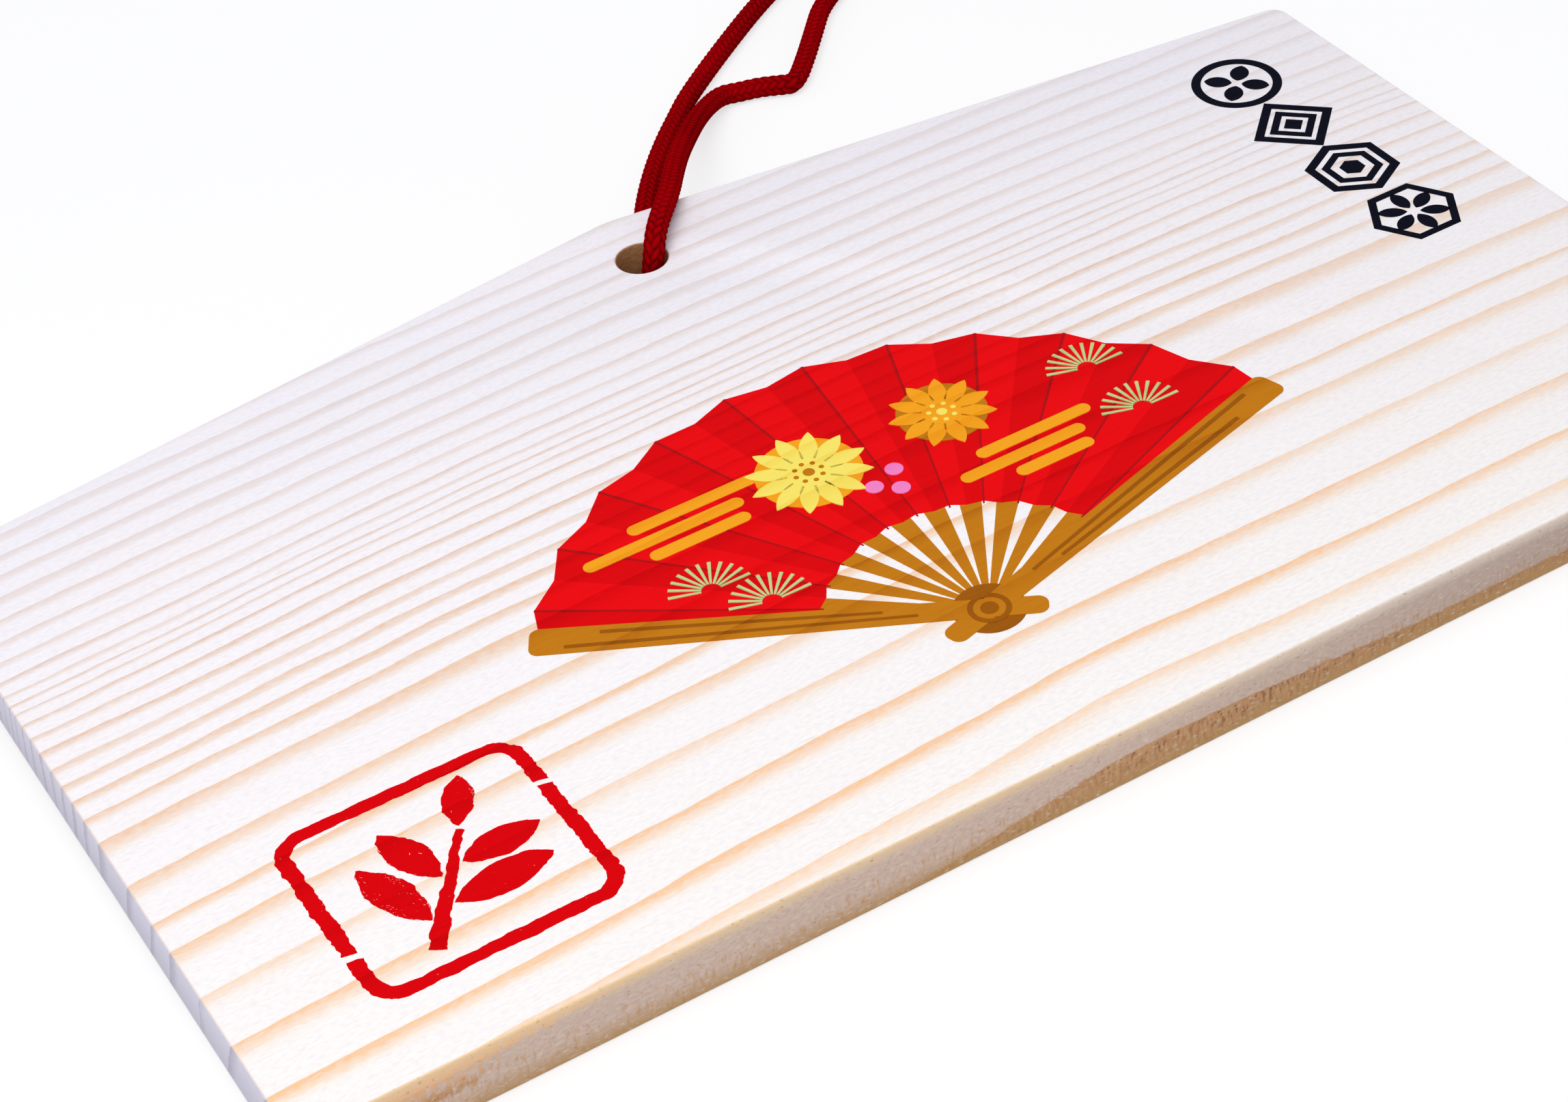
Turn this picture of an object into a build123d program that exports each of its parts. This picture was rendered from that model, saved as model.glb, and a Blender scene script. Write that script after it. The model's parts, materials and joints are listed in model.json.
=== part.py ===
from build123d import *

import math
import os

# Board: one flat piece of softwood with a shallow gable, sizes in millimetres
board_width = 150.0
side_height = 80.8
apex_height = 90.0
board_thickness = 6.0
apex_radius = 8.0
roof_corner_radius = 1.8
foot_corner_radius = 0.8
arris_radius = 0.25

# Cord hole, drilled square through the board under the apex
hole_diameter = 5.0
hole_below_apex = 7.7

# Cord: a soft round braid, the gap it keeps from the back of the board, and how high its front leg arches
cord_diameter = 2.2
cord_clearance = 0.05
arch_height = 0.9
roof_lift = 0.5

# Knot: both strands in one overhand knot, a core with a double slanting wrap, and its place on the table
knot_length = 10.0
knot_core_radius = 2.75
knot_wrap_slant = 28.0
knot_wrap_spacing = 2.5
knot_entry = (73.5, 76.0)
knot_heading = -50.0
strand_gap = 0.3
strand_drop = 1.0
strand_lead = 4.0
tail_lead = 3.2

# The line across both strands where the loop bends up from the table
bend_heading = 45.0
bend_run = 4.5
bend_back = (20.1, 68.0)
bend_front = (22.15, 65.95)

# Where along its passage through the hole the cord is divided into its back and front legs
passage_split = 0.6

# Each arc of the cord takes this share of the shorter run beside it
run_share = 0.45

# The board lies face up and leans on the cord that runs behind it to the roof edge
cord_radius = cord_diameter / 2
hole_radius = hole_diameter / 2
hole_height = apex_height - hole_below_apex
lean = math.asin((cord_diameter + cord_clearance) / (hole_height + hole_radius))
foot_y = (board_thickness * math.sin(lean) - apex_height * math.cos(lean)) / 2
board_plane = Plane(
    origin=(0, foot_y, 0),
    x_dir=(1, 0, 0),
    z_dir=(0, -math.sin(lean), math.cos(lean)),
)
board_normal = Axis(board_plane.origin, board_plane.z_dir)
hole_back = board_plane.from_local_coords((0, hole_height, 0))
hole_front = board_plane.from_local_coords((0, hole_height, board_thickness))
hole_plane = Plane(origin=hole_front, x_dir=(1, 0, 0), z_dir=board_plane.z_dir)

# Board, sawn to its gabled outline, with sanded arrises and the drilled hole
with BuildPart() as board:
    with BuildSketch(board_plane) as board_outline:
        with BuildLine():
            Polyline(
                (-board_width / 2, 0),
                (board_width / 2, 0),
                (board_width / 2, side_height),
                (0, apex_height),
                (-board_width / 2, side_height),
                close=True,
            )
        make_face()
        fillet(board_outline.vertices().group_by(Axis.Y)[1], roof_corner_radius)
        fillet(board_outline.vertices().group_by(Axis.Y)[-1], apex_radius)
        fillet(board_outline.vertices().group_by(Axis.Y)[0], foot_corner_radius)
    extrude(amount=board_thickness)
    back_face = board.faces().sort_by(board_normal)[0]
    front_face = board.faces().sort_by(board_normal)[-1]
    fillet(back_face.edges() + front_face.edges(), arris_radius)
    with Locations(hole_plane):
        Hole(hole_radius)


def arc_radii(points):
    """The radius at each inner point of a route, as large as its two runs allow."""
    radii = []
    for before, here, after in zip(points, points[1:], points[2:]):
        run_in = Vector(here) - Vector(before)
        run_out = Vector(after) - Vector(here)
        half_turn = math.radians(run_in.get_angle(run_out)) / 2
        radii.append(run_share * min(run_in.length, run_out.length) / math.tan(half_turn))
    return radii


def cord_tube(label, points):
    """A round tube of cord along straight runs joined by tangent arcs."""
    radii = arc_radii(points)
    with BuildPart() as tube:
        with BuildLine() as route:
            FilletPolyline(*points, radius=radii)
        path = route.wire()
        with BuildSketch(Plane(origin=path @ 0, z_dir=path % 0)):
            Circle(cord_radius)
        sweep(path=path)
    tube.part.label = label
    volume_ratio = tube.part.volume / (math.pi * cord_radius**2 * path.length)
    print(f"{label}: length {path.length:.1f}, volume over section times length {volume_ratio:.4f}")
    print("  radii " + " ".join(f"{radius:.1f}" for radius in radii))
    return tube.part


def along_bend(point, distance):
    """A point on the table that far from point, square to the line where the loop bends."""
    turn = math.radians(bend_heading)
    return (point[0] + distance * math.cos(turn), point[1] + distance * math.sin(turn), cord_radius)


# Knot, resting on the table, with a flat end where the strands enter and one where the tails leave
knot_turn = math.radians(knot_heading)
knot_plane = Plane(
    origin=(*knot_entry, knot_core_radius + cord_radius),
    x_dir=(-math.sin(knot_turn), math.cos(knot_turn), 0),
    z_dir=(math.cos(knot_turn), math.sin(knot_turn), 0),
)
strand_offset = cord_radius + strand_gap / 2
with BuildPart() as knot:
    with BuildSketch(knot_plane):
        Circle(knot_core_radius)
    extrude(amount=knot_length)
    for side in (-1, 1):
        wrap_plane = knot_plane.offset(knot_length / 2 + side * knot_wrap_spacing / 2)
        with Locations(wrap_plane):
            Torus(knot_core_radius, cord_radius, rotation=(0, knot_wrap_slant, 0))

# Back leg: from inside the hole down behind the board, then along the table from under the roof edge
passage_back = Vector(hole_back.X + 0.05, hole_back.Y + 0.13, cord_radius)
passage_front = Vector(hole_front.X + 0.85, hole_front.Y - 0.95, hole_front.Z + cord_radius / 2)
hole_middle = passage_back + (passage_front - passage_back) * passage_split
back_leg = cord_tube(
    "cord_back_leg",
    [
        hole_middle,
        passage_back,
        (2.6, 43.3, cord_radius),
        (5.6, 49.4, cord_radius),
        (9.3, 55.4, cord_radius),
        (13.2, 60.6, cord_radius),
        along_bend(bend_back, -bend_run),
        along_bend(bend_back, 0),
    ],
)

# Front leg: up out of the hole, over the roof edge, and down to the table beside the back leg
front_leg = cord_tube(
    "cord_front_leg",
    [
        hole_middle,
        passage_front,
        (hole_front.X + 2.6, hole_front.Y + 1.2, hole_front.Z + cord_radius + arch_height),
        (6.7, 43.3, hole_front.Z + cord_radius + roof_lift),
        (10.8, 49.4, 8.3),
        (15.0, 56.7, 4.6),
        along_bend(bend_front, -bend_run),
        along_bend(bend_front, 0),
    ],
)

# Left strand of the loop: a gentle curve on the table, rising to the knot
left_strand = cord_tube(
    "loop_left_strand",
    [
        along_bend(bend_back, 0),
        along_bend(bend_back, bend_run),
        (31.0, 77.3, cord_radius),
        (40.0, 83.9, cord_radius),
        (47.6, 88.2, cord_radius),
        (55.5, 89.7, cord_radius),
        (62.6, 87.7, cord_radius),
        (68.2, 83.6, 1.8),
        tuple(knot_plane.from_local_coords((strand_offset, -strand_drop, -strand_lead))),
        tuple(knot_plane.from_local_coords((strand_offset, -strand_drop, 0))),
    ],
)

# Right strand of the loop: it forks away, folds in a tight kink, and runs beside the left strand to the knot
right_strand = cord_tube(
    "loop_right_strand",
    [
        along_bend(bend_front, 0),
        (24.45, 68.25, cord_radius),
        (27.3, 69.0, cord_radius),
        (29.9, 68.4, cord_radius),
        (33.6, 66.2, cord_radius),
        (37.2, 69.8, cord_radius),
        (41.0, 74.5, cord_radius),
        (45.4, 79.8, cord_radius),
        (52.0, 83.4, cord_radius),
        (59.2, 84.4, cord_radius),
        (65.4, 82.0, 1.8),
        tuple(knot_plane.from_local_coords((-strand_offset, -strand_drop, -strand_lead))),
        tuple(knot_plane.from_local_coords((-strand_offset, -strand_drop, 0))),
    ],
)

# Tails: the two cut ends past the knot, falling to the table and spreading
left_tail = cord_tube(
    "left_tail",
    [
        tuple(knot_plane.from_local_coords((strand_offset, -strand_drop, knot_length))),
        tuple(knot_plane.from_local_coords((strand_offset, -strand_drop, knot_length + tail_lead))),
        (85.5, 64.7, 1.7),
        (88.6, 63.3, cord_radius),
    ],
)
right_tail = cord_tube(
    "right_tail",
    [
        tuple(knot_plane.from_local_coords((-strand_offset, -strand_drop, knot_length))),
        tuple(knot_plane.from_local_coords((-strand_offset, -strand_drop, knot_length + tail_lead))),
        (82.5, 62.3, 1.7),
        (83.2, 59.0, cord_radius),
    ],
)

board.part.label = "board"
knot.part.label = "knot"
os.makedirs("parts", exist_ok=True)
for piece in (board.part, back_leg, front_leg, left_strand, right_strand, knot.part, left_tail, right_tail):
    export_step(piece, f"parts/{piece.label}.step")
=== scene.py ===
import json
import math

import bmesh
import bpy
import numpy as np
from mathutils import Matrix, Vector


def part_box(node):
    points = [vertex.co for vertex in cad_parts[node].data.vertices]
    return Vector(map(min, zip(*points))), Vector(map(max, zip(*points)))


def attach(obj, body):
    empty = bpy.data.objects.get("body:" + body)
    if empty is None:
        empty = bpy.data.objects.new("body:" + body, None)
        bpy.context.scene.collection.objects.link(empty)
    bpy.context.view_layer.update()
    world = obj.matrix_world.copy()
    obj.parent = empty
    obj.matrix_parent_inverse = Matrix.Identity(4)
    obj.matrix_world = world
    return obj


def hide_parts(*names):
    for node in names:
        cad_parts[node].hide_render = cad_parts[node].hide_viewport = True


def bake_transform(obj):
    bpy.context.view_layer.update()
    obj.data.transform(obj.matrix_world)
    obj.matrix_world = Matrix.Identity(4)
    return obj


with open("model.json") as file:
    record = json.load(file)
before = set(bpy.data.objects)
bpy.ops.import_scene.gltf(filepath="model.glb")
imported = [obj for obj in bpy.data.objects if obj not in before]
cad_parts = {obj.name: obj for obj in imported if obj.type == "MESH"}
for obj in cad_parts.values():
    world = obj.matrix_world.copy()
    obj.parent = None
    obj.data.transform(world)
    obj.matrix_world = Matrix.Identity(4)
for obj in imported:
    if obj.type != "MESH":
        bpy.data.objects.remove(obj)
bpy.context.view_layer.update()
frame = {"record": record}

# Board: one flat piece of planed softwood, sawn to a shallow gable with its grain across the width. The
# arrises are eased with sandpaper, and one hole is drilled under the apex. It lies face up, its roof edge
# propped on the cord that runs behind it.
mm = 0.001
board_thickness = 6 * mm
side_height = 80.8 * mm
apex_height = 90 * mm
board_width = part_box("board")[1].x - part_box("board")[0].x
apex_radius = 8 * mm
roof_corner_radius = 1.8 * mm
foot_corner_radius = 0.8 * mm
arris_width = 0.28 * mm
arris_angle = math.radians(50)
smooth_angle = math.radians(35)
hole_radius = 2.5 * mm
hole_height = 82.3 * mm

bottom_edge = next(m for m in frame["record"]["mounts"] if m["name"] == "bottom_edge")
rise = -Vector(bottom_edge["axis"])
across = Vector((1, 0, 0))
facing = across.cross(rise)
board_place = Matrix((across, rise, facing)).transposed().to_4x4()
board_place.translation = Vector(bottom_edge["pos_m"]) - facing * board_thickness / 2


def pick(piece, wanted):
    """Selects, in edit mode, the vertices whose place passes the test, and what lies wholly between them."""
    bpy.ops.mesh.select_mode(type="VERT")
    bpy.ops.mesh.select_all(action="DESELECT")
    mesh = bmesh.from_edit_mesh(piece.data)
    for vert in mesh.verts:
        vert.select = bool(wanted(vert.co))
    mesh.select_flush_mode()
    bmesh.update_edit_mesh(piece.data)


def apply_modifier(piece, kind, **settings):
    """Adds one modifier with its settings to a piece and applies it."""
    modifier = piece.modifiers.new(kind.lower(), kind)
    for name, value in settings.items():
        setattr(modifier, name, value)
    bpy.context.view_layer.objects.active = piece
    bpy.ops.object.modifier_apply(modifier=modifier.name)


roof_turn = math.atan2(apex_height - side_height, board_width / 2)
bpy.ops.object.select_all(action="DESELECT")
bpy.ops.mesh.primitive_plane_add(size=1, location=(0, side_height / 2, 0))
board = bpy.context.object
board.name = "softwood_board"
board.scale = (board_width, side_height, 1)
bpy.ops.object.transform_apply(location=True, rotation=True, scale=True)
bpy.ops.object.mode_set(mode="EDIT")
pick(board, lambda place: place.y > side_height / 2)
bpy.ops.mesh.subdivide(number_cuts=1)
pick(board, lambda place: place.y > side_height / 2 and abs(place.x) < mm)
bpy.ops.transform.translate(value=(0, apex_height - side_height, 0))
for height, turn, radius, segments in (
    (apex_height, 2 * roof_turn, apex_radius, 12),
    (side_height, math.pi / 2 - roof_turn, roof_corner_radius, 10),
    (0, math.pi / 2, foot_corner_radius, 8),
):
    pick(board, lambda place: abs(place.y - height) < 0.05 * mm)
    bpy.ops.mesh.bevel(offset=radius * math.tan(turn / 2), segments=segments, affect="VERTICES")
bpy.ops.mesh.select_all(action="SELECT")
bpy.ops.mesh.extrude_region_move(TRANSFORM_OT_translate={"value": (0, 0, board_thickness)})
bpy.ops.mesh.select_all(action="SELECT")
bpy.ops.mesh.normals_make_consistent(inside=False)
bpy.ops.object.mode_set(mode="OBJECT")

bpy.ops.object.select_all(action="DESELECT")
bpy.ops.mesh.primitive_cylinder_add(
    vertices=72, radius=hole_radius, depth=3 * board_thickness, location=(0, hole_height, board_thickness / 2)
)
drill = bpy.context.object
bpy.ops.object.transform_apply(location=True, rotation=True, scale=True)
apply_modifier(board, "BOOLEAN", operation="DIFFERENCE", object=drill, solver="EXACT")
bpy.data.objects.remove(drill)
apply_modifier(board, "BEVEL", width=arris_width, segments=3, limit_method="ANGLE", angle_limit=arris_angle)
board.data.transform(board_place)
bpy.ops.object.select_all(action="DESELECT")
board.select_set(True)
bpy.context.view_layer.objects.active = board
bpy.ops.object.shade_smooth_by_angle(angle=smooth_angle)


def node(tree, kind, inputs=(), **settings):
    """Adds a node with its settings, and feeds each input from a value or from another node's socket."""
    new = tree.nodes.new(kind)
    for name, value in settings.items():
        setattr(new, name, value)
    for socket, value in dict(inputs).items():
        if isinstance(value, bpy.types.NodeSocket):
            tree.links.new(value, new.inputs[socket])
        else:
            new.inputs[socket].default_value = value
    return new


def sums(tree, operation, *values, clamp=False):
    """One step of arithmetic on sockets and numbers."""
    return node(tree, "ShaderNodeMath", enumerate(values), operation=operation, use_clamp=clamp).outputs[0]


def noise(tree, place, stretch, detail=3.0):
    """Cloudy noise from 0 to 1, with place in millimetres divided by a stretch along x, y and z."""
    scaled = node(tree, "ShaderNodeVectorMath", {0: place, 1: stretch}, operation="DIVIDE").outputs[0]
    return node(tree, "ShaderNodeTexNoise", {"Vector": scaled, "Scale": 1.0, "Detail": detail}).outputs["Fac"]


def ramp(tree, value, *stops):
    """A piecewise ramp of grey or colour through stops of (position, colour)."""
    new = node(tree, "ShaderNodeValToRGB", {"Fac": value})
    for number, (position, colour) in enumerate(stops):
        stop = new.color_ramp.elements[number] if number < 2 else new.color_ramp.elements.new(position)
        stop.position = position
        stop.color = (colour, colour, colour, 1) if isinstance(colour, (int, float)) else (*colour, 1)
    return new.outputs["Color"]


def blend(tree, factor, under, over, kind="MIX"):
    """Colour over colour by a factor."""
    mixed = node(tree, "ShaderNodeMix", data_type="RGBA", blend_type=kind, clamp_factor=True)
    for socket, value in ((0, factor), (6, under), (7, over)):
        if isinstance(value, bpy.types.NodeSocket):
            tree.links.new(value, mixed.inputs[socket])
        else:
            mixed.inputs[socket].default_value = value if isinstance(value, (int, float)) else (*value, 1)
    return mixed.outputs[2]


def paint(*srgb):
    """A colour as it is read off a screen, 0 to 255, turned into the linear values that shaders take."""
    shares = (value / 255 for value in srgb)
    return tuple(v / 12.92 if v <= 0.04045 else ((v + 0.055) / 1.055) ** 2.4 for v in shares)


def drawn_curve(tree, value, points, handles):
    """A value read off a curve drawn through points, from 0 to 1 both ways."""
    new = node(tree, "ShaderNodeFloatCurve", {"Value": value})
    drawn = new.mapping.curves[0].points
    for number, place in enumerate(points):
        point = drawn[number] if number < 2 else drawn.new(*place)
        point.location = place
    for point in drawn:
        point.handle_type = handles
    new.mapping.update()
    return new.outputs[0]


# Growth rings of the board's own piece of wood, as one pattern in millimetres from the foot of the board. The
# pith lies below the foot and behind the back, and the ring edges are heights up the left side of the face.
pith_below = 57.0
pith_behind = 38.0
ring_edges = (
    -7.0, -0.4, 4.8, 11.1, 16.9, 22.9, 26.7, 31.8, 37.9, 41.1, 43.7, 46.0, 48.2, 50.6, 52.9,
    55.0, 56.6, 57.9, 59.4, 61.3, 63.6, 66.1, 68.9, 71.8, 74.6, 77.2, 80.0, 82.8, 86.0, 90.0,
)
furthest_ring = 160.0
foot_bow = 4.86
foot_bow_curve = (
    (0.0, 0.0), (1.0, 0.76), (0.2, 0.27), (0.34, 0.53), (0.42, 0.71), (0.47, 0.9),
    (0.52, 1.0), (0.57, 0.95), (0.62, 0.87), (0.69, 0.8), (0.8, 0.8),
)
ring_tilt = 1.5
ring_arch = 2.3
ring_wander = 0.9
ring_raggedness = 0.18
bow_fades_from = 6.0
bow_fades_to = 24.0

rings = bpy.data.node_groups.new("growth_rings", "ShaderNodeTree")
for socket in ("Place", "Latewood", "Closing", "Fibre", "Height", "Across"):
    kind = "NodeSocketVector" if socket == "Place" else "NodeSocketFloat"
    rings.interface.new_socket(socket, in_out="OUTPUT", socket_type=kind)
coordinates = node(rings, "ShaderNodeTexCoord").outputs["Object"]
place = node(
    rings,
    "ShaderNodeMapping",
    {
        "Vector": coordinates,
        "Location": board_place.inverted().translation / mm,
        "Rotation": (-math.asin(rise.z), 0, 0),
        "Scale": (1 / mm, 1 / mm, 1 / mm),
    },
).outputs[0]
axes = node(rings, "ShaderNodeSeparateXYZ", {0: place}).outputs
half_widths = sums(rings, "DIVIDE", axes["X"], board_width / mm / 2)
from_left = sums(rings, "MULTIPLY_ADD", half_widths, 0.5, 0.5)
foot_bowing = sums(rings, "MULTIPLY", drawn_curve(rings, from_left, foot_bow_curve, "AUTO"), foot_bow)
squared = sums(rings, "MULTIPLY", half_widths, half_widths)
arching = sums(rings, "MULTIPLY_ADD", squared, -ring_arch, ring_arch)
bowing = sums(rings, "ADD", sums(rings, "MULTIPLY_ADD", half_widths, ring_tilt, ring_tilt), arching)
height = sums(rings, "DIVIDE", axes["Y"], apex_height / mm)
bow_stops = (bow_fades_from * mm / apex_height, 0.0), (bow_fades_to * mm / apex_height, 1.0)
bow = node(rings, "ShaderNodeMix", {0: ramp(rings, height, *bow_stops), 2: foot_bowing, 3: bowing}).outputs[0]
wander = sums(rings, "MULTIPLY_ADD", noise(rings, place, (34, 11, 9)), 2 * ring_wander, -ring_wander)
short_noise = noise(rings, place, (5, 0.7, 0.7))
ragged = sums(rings, "MULTIPLY_ADD", short_noise, 2 * ring_raggedness, -ring_raggedness)
level = sums(rings, "ADD", sums(rings, "SUBTRACT", axes["Y"], bow), sums(rings, "ADD", wander, ragged))
up_from_pith = sums(rings, "ADD", level, pith_below)
out_from_pith = sums(rings, "ADD", axes["Z"], pith_behind)
out_squared = sums(rings, "MULTIPLY", out_from_pith, out_from_pith)
from_pith = sums(rings, "SQRT", sums(rings, "MULTIPLY_ADD", up_from_pith, up_from_pith, out_squared))
ring_count = len(ring_edges) + 1
year_curve = [(0.0, 0.0), (1.0, 1.0)]
for number, edge in enumerate(ring_edges, start=1):
    reach = math.hypot(edge + pith_below, board_thickness / mm + pith_behind)
    year_curve.append((reach / furthest_ring, number / ring_count))
ring_share = drawn_curve(rings, sums(rings, "DIVIDE", from_pith, furthest_ring), year_curve, "VECTOR")
year = sums(rings, "MULTIPLY", ring_share, float(ring_count))
season = sums(rings, "FRACT", year)
whole_year = sums(rings, "FLOOR", year)
closing = ramp(rings, season, (0.0, 0.5), (0.03, 0.0), (0.55, 0.0), (0.99, 1.0))
year_chance = node(rings, "ShaderNodeTexWhiteNoise", {"W": whole_year}, noise_dimensions="1D").outputs
sharpness = sums(rings, "MULTIPLY_ADD", year_chance["Color"], 1.2, 0.9)
slow_years = ramp(rings, height, (0.4, 1.0), (0.46, 0.58), (0.55, 0.55), (0.62, 0.85))
late = sums(rings, "POWER", closing, sums(rings, "MULTIPLY", sharpness, slow_years))
year_strength = sums(rings, "MULTIPLY_ADD", year_chance["Value"], 0.5, 0.6)
fade = sums(rings, "MULTIPLY_ADD", noise(rings, place, (26, 5, 5)), 0.8, 0.55, clamp=True)
fade = sums(rings, "MULTIPLY", fade, ramp(rings, from_left, (0.6, 1.0), (0.95, 0.62)))
speckled = sums(rings, "MULTIPLY_ADD", noise(rings, place, (0.9, 0.3, 0.3), detail=2.0), 1.3, 0.4)
fullest = sums(rings, "MULTIPLY", late, year_strength)
latewood = sums(rings, "MULTIPLY", fullest, sums(rings, "MULTIPLY", fade, speckled))
fibre = noise(rings, place, (6.5, 0.16, 0.16), detail=4.0)
node(
    rings,
    "NodeGroupOutput",
    {
        "Place": place,
        "Latewood": latewood,
        "Closing": closing,
        "Fibre": fibre,
        "Height": height,
        "Across": from_left,
    },
)


def squareness(tree, direction):
    """How squarely a surface faces along a direction, either way round, from 0 to 1."""
    normal = node(tree, "ShaderNodeNewGeometry").outputs["Normal"]
    turned = node(tree, "ShaderNodeVectorMath", {0: normal, 1: direction}, operation="DOT_PRODUCT")
    return sums(tree, "ABSOLUTE", turned.outputs["Value"])


# Bare softwood: pale earlywood between deeper ring edges where it is planed, browner and torn where the saw
# left the foot, and grey on the end grain. Painted light lies in it too: cool light on the end grain and the
# upper face, painted shade and painted highlights on the sawn foot, and painted contact shade where that foot
# meets the table.
wood = bpy.data.materials.new("planed_softwood")
wood.use_nodes = True
tree = wood.node_tree
grain = node(tree, "ShaderNodeGroup", node_tree=rings).outputs
planed = ramp(tree, squareness(tree, facing), (0.7, 0.0), (0.95, 1.0))
end_grain = ramp(tree, squareness(tree, across), (0.5, 0.0), (0.85, 1.0))
mottle = noise(tree, grain["Place"], (16, 7, 5))
speckle = noise(tree, grain["Place"], (0.6, 0.42, 0.32), detail=3.0)
flecks = ramp(tree, noise(tree, grain["Place"], (2.6, 0.17, 0.17), detail=1.0), (0.7, 0.0), (0.78, 1.0))

# Towards the top of the face the earlywood turns from warm white to a cool lavender white: painted cool
# light.
earlywood = ramp(
    tree,
    grain["Height"],
    (0.05, paint(255, 252, 247)),
    (0.5, paint(252, 249, 250)),
    (1.0, paint(247, 244, 252)),
)
earlywood = blend(tree, ramp(tree, mottle, (0.35, 0.0), (0.75, 0.5)), earlywood, paint(253, 247, 244))
# The latewood greys and turns violet towards the top: painted cool light, as on the earlywood.
late_pale = ramp(
    tree,
    grain["Height"],
    (0.0, paint(255, 241, 222)),
    (0.4, paint(250, 237, 224)),
    (0.85, paint(241, 235, 236)),
)
late_deep = ramp(
    tree,
    grain["Height"],
    (0.0, paint(255, 200, 142)),
    (0.4, paint(244, 201, 160)),
    (0.6, paint(230, 194, 168)),
    (0.85, paint(232, 219, 216)),
)
face_late = blend(tree, ramp(tree, grain["Latewood"], (0.2, 0.0), (0.9, 1.0)), late_pale, late_deep)
face = blend(tree, ramp(tree, grain["Latewood"], (0.0, 0.0), (0.35, 1.0)), earlywood, face_late)
grit = noise(tree, grain["Place"], (0.7, 0.3, 0.3), detail=2.0)
face = blend(tree, ramp(tree, grit, (0.4, 0.0), (0.75, 0.4)), face, paint(230, 224, 230))
face = blend(tree, sums(tree, "MULTIPLY", flecks, 0.35), face, paint(236, 200, 170))
face = blend(tree, ramp(tree, grain["Fibre"], (0.35, 0.0), (0.8, 0.18)), face, paint(244, 230, 220))
torn = noise(tree, grain["Place"], (0.35, 1.0, 1.1), detail=4.0)
sawn_grain = ramp(tree, speckle, (0.3, 0.0), (0.7, 1.0))
sawn_early = blend(tree, sawn_grain, paint(216, 189, 170), paint(231, 207, 189))
sawn_late = blend(tree, ramp(tree, torn, (0.35, 0.0), (0.65, 1.0)), paint(192, 137, 90), paint(216, 169, 121))
torn_patches = ramp(tree, noise(tree, grain["Place"], (9, 6, 6), detail=1.0), (0.4, 0.0), (0.52, 1.0))
torn_out = sums(tree, "MULTIPLY", ramp(tree, torn, (0.38, 0.9), (0.46, 0.0)), torn_patches)
sawn_late = blend(tree, torn_out, sawn_late, paint(144, 92, 56))
off_back = node(tree, "ShaderNodeSeparateXYZ", {0: grain["Place"]}).outputs["Z"]
thickness_share = sums(tree, "DIVIDE", off_back, board_thickness / mm)
sawn_late = blend(tree, ramp(tree, thickness_share, (0.5, 0.0), (0.8, 1.0)), sawn_late, paint(250, 196, 146))
# Darker and greyer towards the right end of the sawn foot: painted shade where the light falls off.
shade_to_right = ramp(tree, grain["Across"], (0.5, 0.0), (0.8, 0.5))
sawn_early = blend(tree, shade_to_right, sawn_early, paint(178, 158, 148))
sawn_late = blend(tree, shade_to_right, sawn_late, paint(176, 124, 80))
narrower = ramp(tree, thickness_share, (0.5, 0.0), (0.7, 0.45))
torn_edge = sums(tree, "MULTIPLY_ADD", torn, 0.9, -0.45)
dense = sums(tree, "ADD", sums(tree, "SUBTRACT", grain["Closing"], narrower), torn_edge)
dense = ramp(tree, dense, (0.02, 0.0), (0.2, 1.0))
sawn = blend(tree, dense, sawn_early, sawn_late)
# Towards the back, where the sawn edge meets the table, it turns a darker golden tan: partly the wood's own
# golden tone, partly painted contact shade.
sawn = blend(tree, ramp(tree, thickness_share, (0.04, 0.9), (0.38, 0.0)), sawn, paint(204, 160, 102))
# A pale orange band along the upper arris of the sawn edge, warmest at the left: painted highlight.
arris_highlight = ramp(tree, grain["Across"], (0.45, paint(255, 222, 174)), (0.66, paint(248, 232, 214)))
sawn = blend(tree, ramp(tree, thickness_share, (0.76, 0.0), (0.96, 0.85)), sawn, arris_highlight)
# Pale specks on the sawn edge: pale torn fibres, with painted highlights where they stand up.
chips_and_glints = noise(tree, grain["Place"], (0.7, 0.4, 0.3), detail=3.0)
sawn = blend(tree, ramp(tree, chips_and_glints, (0.55, 0.0), (0.75, 0.6)), sawn, paint(244, 229, 210))
pits = noise(tree, grain["Place"], (0.55, 0.4, 0.35), detail=2.0)
sawn = blend(tree, ramp(tree, pits, (0.28, 0.5), (0.38, 0.0)), sawn, paint(170, 134, 104))
# The end grain is grey with a lavender tint: the tint is painted cool light.
end = ramp(tree, thickness_share, (0.2, paint(217, 213, 226)), (0.85, paint(229, 225, 238)))
end = blend(tree, ramp(tree, grain["Latewood"], (0.2, 0.0), (0.8, 0.6)), end, paint(170, 162, 182))
side = blend(tree, end_grain, sawn, end)
hole_axis = (0, hole_height / mm, 0)
offset = node(tree, "ShaderNodeVectorMath", {0: grain["Place"], 1: hole_axis}, operation="SUBTRACT")
flattened = node(tree, "ShaderNodeVectorMath", {0: offset.outputs[0], 1: (1, 1, 0)}, operation="MULTIPLY")
from_hole = node(tree, "ShaderNodeVectorMath", {0: flattened.outputs[0]}, operation="LENGTH").outputs["Value"]
bored = sums(tree, "LESS_THAN", from_hole, 1.2 * hole_radius / mm)
side = blend(tree, bored, side, blend(tree, speckle, paint(150, 100, 60), paint(204, 156, 108)))
colour = blend(tree, planed, side, face)
fibre_depth = sums(tree, "MULTIPLY", grain["Fibre"], 0.6)
planed_depth = sums(tree, "ADD", fibre_depth, sums(tree, "MULTIPLY", grain["Latewood"], 0.35))
sawn_depth = sums(tree, "MULTIPLY", speckle, 2.6)
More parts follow.
